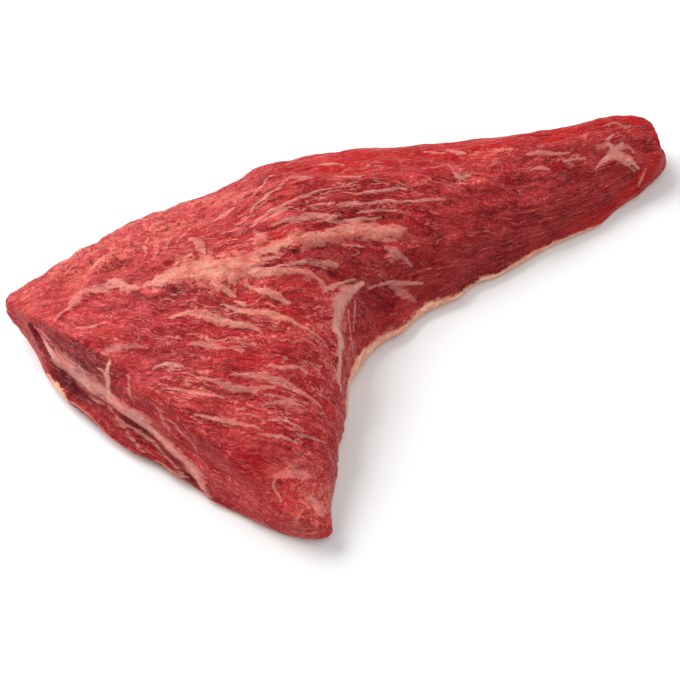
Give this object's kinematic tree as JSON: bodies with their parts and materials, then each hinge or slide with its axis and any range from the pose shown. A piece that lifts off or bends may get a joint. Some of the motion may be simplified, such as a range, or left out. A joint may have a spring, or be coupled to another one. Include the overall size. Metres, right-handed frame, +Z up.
{
  "type": "raw beef tri-tip",
  "caption": "Boomerang-shaped raw beef roast: a broad thick base with a cut face, a long tapering tail and a flat fat side it rests on; for roasting or grilling.",
  "frame": {"origin": "centre of the bounding box in plan, on the flat underside that rests on the board", "axes": "+Z up from the flat fat side, +X along the longest side of the box from the broad base towards the tip of the tail, +Y towards the long convex side"},
  "size_m": [0.3426, 0.256, 0.0524],
  "materials": {
    "raw_beef": "moist, soft gloss"
  },
  "bodies": {
    "root": {"beef_tri_tip": "raw_beef"}
  },
  "joints": []
}
